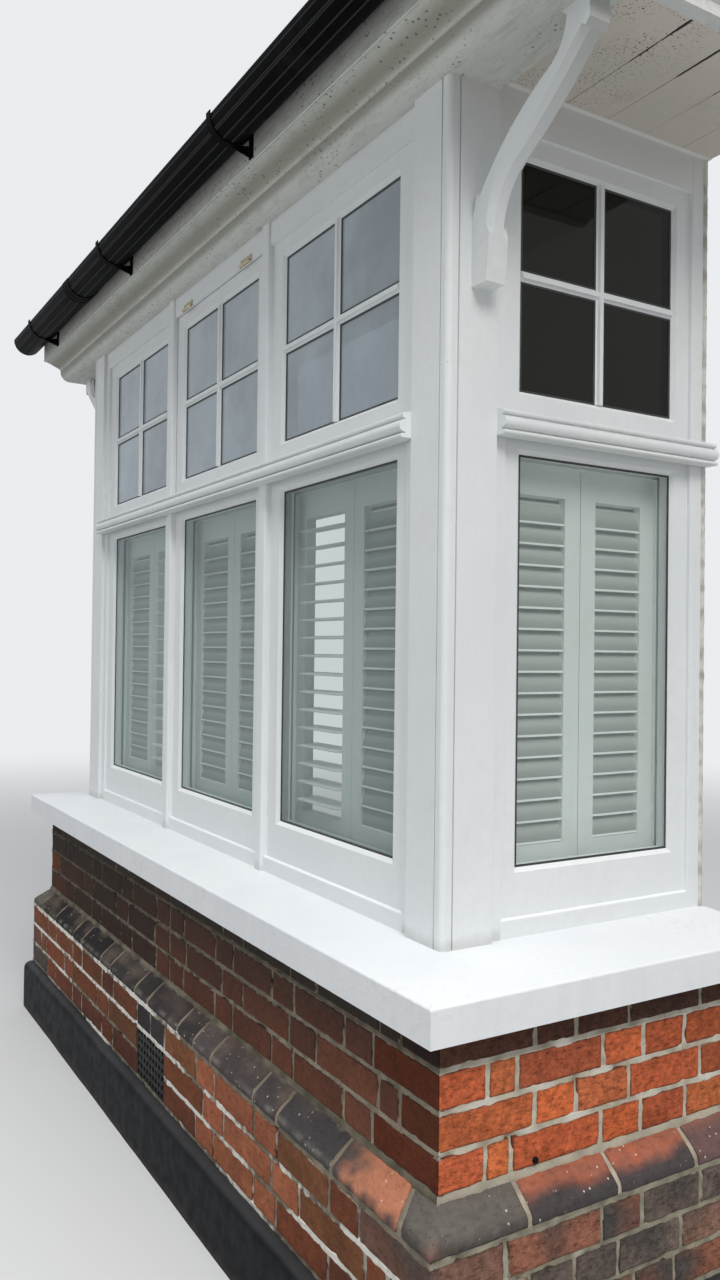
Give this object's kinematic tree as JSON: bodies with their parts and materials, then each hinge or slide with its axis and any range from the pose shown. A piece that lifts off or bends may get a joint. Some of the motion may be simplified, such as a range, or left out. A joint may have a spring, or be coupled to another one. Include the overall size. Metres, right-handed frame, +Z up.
{
  "type": "bay window",
  "caption": "Square timber bay window on low brick walls, with a moulded transom, louvred shutters and a tiled lean-to canopy on curved brackets.",
  "frame": {"origin": "on the ground, under the middle of the whole part's width and depth", "axes": "+X to the right along the front as seen from outside, +Y from the front into the house, +Z up"},
  "size_m": [3.24, 0.9906, 3.4629],
  "materials": {
    "white_paint": "satin paint",
    "eaves_paint": "dirty satin paint",
    "soffit_paint": "weathered paint",
    "shutter_paint": "satin paint",
    "interior_paint": "matt paint",
    "timber": "sawn",
    "sill_paint": "painted",
    "brick": "rough",
    "bitumen": "matt tar",
    "air_brick_iron": "black paint",
    "roof_tile": "weathered clay",
    "lead": "dull",
    "gutter_black": "gloss",
    "brass": "aged",
    "glass": "clear"
  },
  "bodies": {
    "root": {"air_brick": "air_brick_iron", "bay_ceiling": "interior_paint", "bracket_left": "white_paint", "bracket_right": "white_paint", "brick_wall_front": "brick", "brick_wall_left": "brick", "brick_wall_right": "brick", "corner_post_left": "white_paint", "corner_post_right": "white_paint", "eaves_beam": "eaves_paint", "end_boards": "white_paint", "fascia": "eaves_paint", "flashing": "lead", "frame_cill": "white_paint", "frame_head": "white_paint", "glass_front": "glass", "glass_left": "glass", "glass_right": "glass", "gutter": "gutter_black", "gutter_brackets": "gutter_black", "hinges": "brass", "ledger": "timber", "lower_sash_left": "white_paint", "lower_sash_right": "white_paint", "lower_sashes_front": "white_paint", "mullions": "white_paint", "rafters": "timber", "roof_slope": "roof_tile", "shutters_front": "shutter_paint", "shutters_left": "shutter_paint", "shutters_right": "shutter_paint", "side_soffits": "soffit_paint", "sill_front": "sill_paint", "sill_left": "sill_paint", "sill_right": "sill_paint", "skirt_front": "bitumen", "skirt_sides": "bitumen", "top_light_left": "white_paint", "top_light_right": "white_paint", "top_lights_front": "white_paint", "transom_front": "white_paint", "transom_left": "white_paint", "transom_right": "white_paint", "wall_jambs": "white_paint", "window_board": "interior_paint"}
  },
  "joints": []
}
